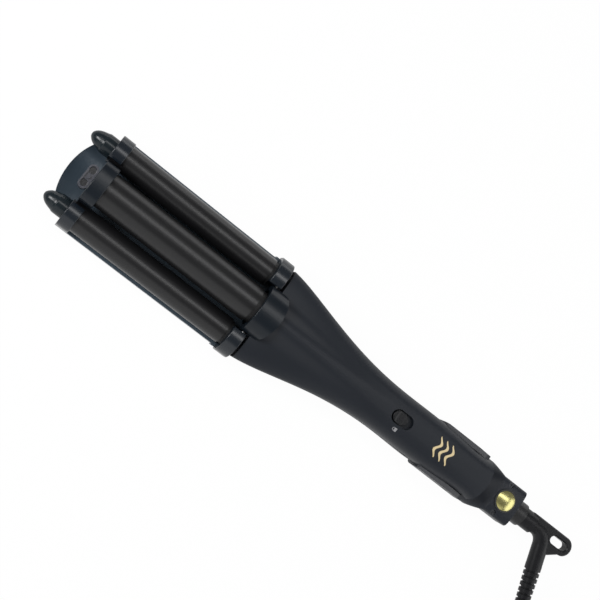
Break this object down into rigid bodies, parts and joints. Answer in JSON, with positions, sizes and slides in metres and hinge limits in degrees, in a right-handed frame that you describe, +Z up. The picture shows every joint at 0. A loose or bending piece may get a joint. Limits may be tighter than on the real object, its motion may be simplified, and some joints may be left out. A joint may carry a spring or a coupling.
{
  "type": "three-barrel hair waver",
  "caption": "Corded hair waver of the tong type: a hinged arm with a round barrel closes between side barrels, with cool tips, a sliding lock, a domed button and a swivel cord.",
  "frame": {"origin": "on the surface the tool lies on, under the middle of the tool's length from cool tips to swivel bush, without the cord", "axes": "+X from the cool tips to the cord swivel, +Y to the tool's left side, +Z up through the lock and the button"},
  "size_m": [0.5277, 0.1618, 0.0406],
  "materials": {
    "soft_touch_black": "soft-touch moulded",
    "gloss_black": "polished moulded",
    "ceramic_barrel": "satin ceramic coating",
    "insulator_plastic": "moulded",
    "aluminium_core": "extruded",
    "heater_plate": "flat plate",
    "gold_button": "polished gold plate",
    "black_bezel": "moulded",
    "steel": "ground",
    "circuit_board": "solder mask",
    "lead_insulation": "silicone",
    "cord_rubber": "moulded rubber",
    "tie_fabric": "woven hook and loop",
    "plug_pin_metal": "nickelled"
  },
  "bodies": {
    "lower_arm": {"lower_handle_shell": "soft_touch_black", "lower_inner_cover": "insulator_plastic", "lower_cover_screws": "steel", "head_tray": "gloss_black", "catch_plate": "steel", "control_board": "circuit_board", "side_heater_leads": "lead_insulation", "hinge_housing": "soft_touch_black", "rear_cap": "soft_touch_black", "cap_screws": "steel", "hinge_pin": "steel", "opening_spring": "steel", "supply_leads": "lead_insulation", "power_switch": "black_bezel", "button_bezel": "black_bezel", "swivel_bush": "soft_touch_black", "side_barrel_left": "ceramic_barrel", "side_heat_spreader_left": "aluminium_core", "side_heater_left": "heater_plate", "side_insulator_left": "insulator_plastic", "front_collar_left": "gloss_black", "rear_collar_left": "gloss_black", "side_tip_left": "gloss_black", "side_barrel_right": "ceramic_barrel", "side_heat_spreader_right": "aluminium_core", "side_heater_right": "heater_plate", "side_insulator_right": "insulator_plastic", "front_collar_right": "gloss_black", "rear_collar_right": "gloss_black", "side_tip_right": "gloss_black"},
    "upper_arm": {"upper_cover": "soft_touch_black", "upper_inner_cover": "insulator_plastic", "upper_cover_screws": "steel", "centre_barrel": "ceramic_barrel", "centre_heat_spreader": "aluminium_core", "centre_heater": "heater_plate", "centre_insulator": "insulator_plastic", "centre_front_cap": "gloss_black", "cap_boss": "gloss_black", "centre_rear_collar": "gloss_black", "centre_heater_leads": "lead_insulation"},
    "lock": {"lock_slider": "black_bezel", "lock_hook": "black_bezel"},
    "button": {"power_button": "gold_button"},
    "cord": {"swivel_shaft": "steel", "cord_relief_loop": "cord_rubber", "cord_boot": "cord_rubber", "mains_cord": "cord_rubber", "cord_coil": "cord_rubber", "cord_tie": "tie_fabric", "cord_tail": "cord_rubber", "plug_body": "cord_rubber", "plug_pins": "plug_pin_metal"}
  },
  "joints": [
    {"name": "arm_hinge", "type": "hinge", "parent": "lower_arm", "child": "upper_arm", "pos_m": [0.1378, 0, 0.015], "axis": [0, 1, 0], "range_deg": [0, 18], "deforming": ["opening_spring"]},
    {"name": "lock_slide", "type": "slide", "parent": "upper_arm", "child": "lock", "axis": [1, 0, 0], "range_m": [0, 0.0034]},
    {"name": "power_button", "type": "slide", "parent": "lower_arm", "child": "button", "axis": [0, 0, -1], "range_m": [0, 0.0008], "stiffness_N_per_m": 800},
    {"name": "cord_swivel", "type": "hinge", "parent": "lower_arm", "child": "cord", "pos_m": [0.186, 0, 0.0145], "axis": [1, 0, 0], "continuous": true}
  ]
}
